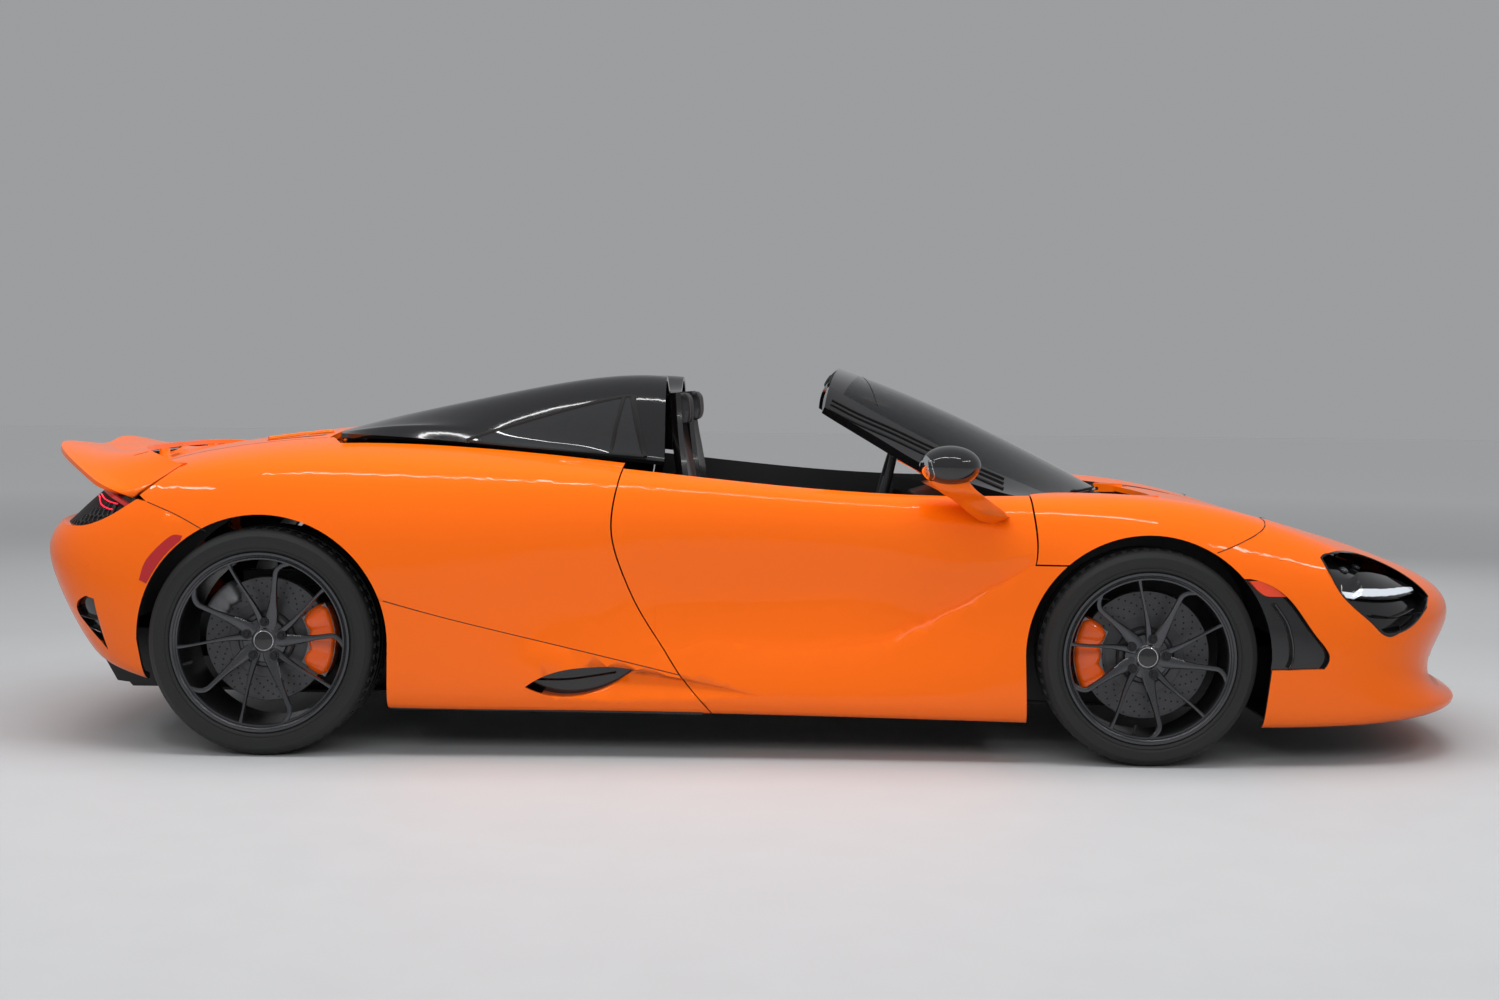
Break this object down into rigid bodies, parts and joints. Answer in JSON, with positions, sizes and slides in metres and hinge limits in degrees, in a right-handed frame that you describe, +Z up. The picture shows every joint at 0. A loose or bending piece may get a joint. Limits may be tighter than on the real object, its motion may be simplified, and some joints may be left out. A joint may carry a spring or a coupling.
{
  "type": "open two-seat sports car",
  "caption": "Low mid-engined open sports car with turning and steering wheels, swing-up doors, lift-up bonnet, tonneau cover and rising rear wing.",
  "frame": {"origin": "on the ground under the middle of the length and width", "axes": "+X toward the nose, +Y toward the car's left side, +Z up"},
  "size_m": [4.5688, 2.156, 1.1889],
  "materials": {
    "body_paint": "gloss",
    "gloss_black": "gloss",
    "satin_black": "matte",
    "carbon_tub": "satin",
    "glass": "clear",
    "tyre_rubber": "matte",
    "rim_graphite": "satin",
    "disc_iron": "ground",
    "knuckle_metal": "cast",
    "seat_leather": "satin",
    "seal_rubber": "matte",
    "lamp_clear": "clear",
    "lamp_red": "clear",
    "engine_metal": "cast"
  },
  "bodies": {
    "chassis": {"tub": "carbon_tub", "underfloor": "satin_black", "diffuser": "satin_black", "front_bumper": "body_paint", "front_fenders": "body_paint", "side_panels": "body_paint", "rear_quarters": "body_paint", "rear_bumper": "body_paint", "rear_deck": "body_paint", "tail_mesh": "satin_black", "cowl": "satin_black", "windscreen_glass": "glass", "windscreen_frame": "gloss_black", "seats": "seat_leather", "dashboard": "satin_black", "headlamps": "lamp_clear", "tail_lamps": "lamp_red", "engine_block": "engine_metal", "door_seals": "seal_rubber", "suspension_arms": "knuckle_metal", "rear_uprights": "knuckle_metal", "duct_linings": "satin_black"},
    "bonnet_lid": {"bonnet": "body_paint"},
    "left_door": {"door_left": "body_paint", "mirror_left": "gloss_black"},
    "right_door": {"door_right": "body_paint", "mirror_right": "gloss_black"},
    "tonneau": {"tonneau_cover": "gloss_black"},
    "wing": {"rear_wing": "body_paint"},
    "steering": {"steering_wheel": "seat_leather"},
    "upright_front_left": {"upright_front_left": "knuckle_metal"},
    "upright_front_right": {"upright_front_right": "knuckle_metal"},
    "wheel_front_left": {"wheel_front_left": "rim_graphite", "tyre_front_left": "tyre_rubber", "brake_disc_front_left": "disc_iron"},
    "wheel_front_right": {"wheel_front_right": "rim_graphite", "tyre_front_right": "tyre_rubber", "brake_disc_front_right": "disc_iron"},
    "wheel_rear_left": {"wheel_rear_left": "rim_graphite", "tyre_rear_left": "tyre_rubber", "brake_disc_rear_left": "disc_iron"},
    "wheel_rear_right": {"wheel_rear_right": "rim_graphite", "tyre_rear_right": "tyre_rubber", "brake_disc_rear_right": "disc_iron"}
  },
  "joints": [
    {"name": "steer_front_left", "type": "hinge", "parent": "chassis", "child": "upright_front_left", "pos_m": [1.1835, 0.7495, 0.327], "axis": [0, 0, 1], "range_deg": [-32, 32]},
    {"name": "steer_front_right", "type": "hinge", "parent": "chassis", "child": "upright_front_right", "pos_m": [1.1835, -0.7495, 0.327], "axis": [0, 0, 1], "range_deg": [-32, 32]},
    {"name": "steering_wheel_turn", "type": "hinge", "parent": "chassis", "child": "steering", "pos_m": [0.428, 0.37, 0.751], "axis": [0.9692, 0, -0.2462], "range_deg": [-450, 450]},
    {"name": "spin_front_left", "type": "hinge", "parent": "upright_front_left", "child": "wheel_front_left", "pos_m": [1.1835, 0.84, 0.327], "axis": [0, 1, 0], "continuous": true},
    {"name": "spin_front_right", "type": "hinge", "parent": "upright_front_right", "child": "wheel_front_right", "pos_m": [1.1835, -0.84, 0.327], "axis": [0, 1, 0], "continuous": true},
    {"name": "spin_rear_left", "type": "hinge", "parent": "chassis", "child": "wheel_rear_left", "pos_m": [-1.4865, 0.8145, 0.3455], "axis": [0, 1, 0], "continuous": true},
    {"name": "spin_rear_right", "type": "hinge", "parent": "chassis", "child": "wheel_rear_right", "pos_m": [-1.4865, -0.8145, 0.3455], "axis": [0, 1, 0], "continuous": true},
    {"name": "door_left_hinge", "type": "hinge", "parent": "chassis", "child": "left_door", "pos_m": [0.9, 0.895, 0.773], "axis": [0.6199, 0.2, -0.7588], "range_deg": [0, 78]},
    {"name": "door_right_hinge", "type": "hinge", "parent": "chassis", "child": "right_door", "pos_m": [0.9, -0.895, 0.773], "axis": [-0.6199, 0.2, 0.7588], "range_deg": [0, 78]},
    {"name": "bonnet_hinge", "type": "hinge", "parent": "chassis", "child": "bonnet_lid", "pos_m": [1.195, 0, 0.771], "axis": [0, -1, 0], "range_deg": [0, 55]},
    {"name": "tonneau_hinge", "type": "hinge", "parent": "chassis", "child": "tonneau", "pos_m": [-1.318, 0, 0.943], "axis": [0, -1, 0], "range_deg": [0, 35]},
    {"name": "wing_lift", "type": "slide", "parent": "chassis", "child": "wing", "axis": [-0.2588, 0, 0.9659], "range_m": [0, 0.06]}
  ],
  "couplings": [
    {"joint": "steer_front_right", "follows": "steer_front_left", "ratio": 1},
    {"joint": "steering_wheel_turn", "follows": "steer_front_left", "ratio": -14}
  ]
}
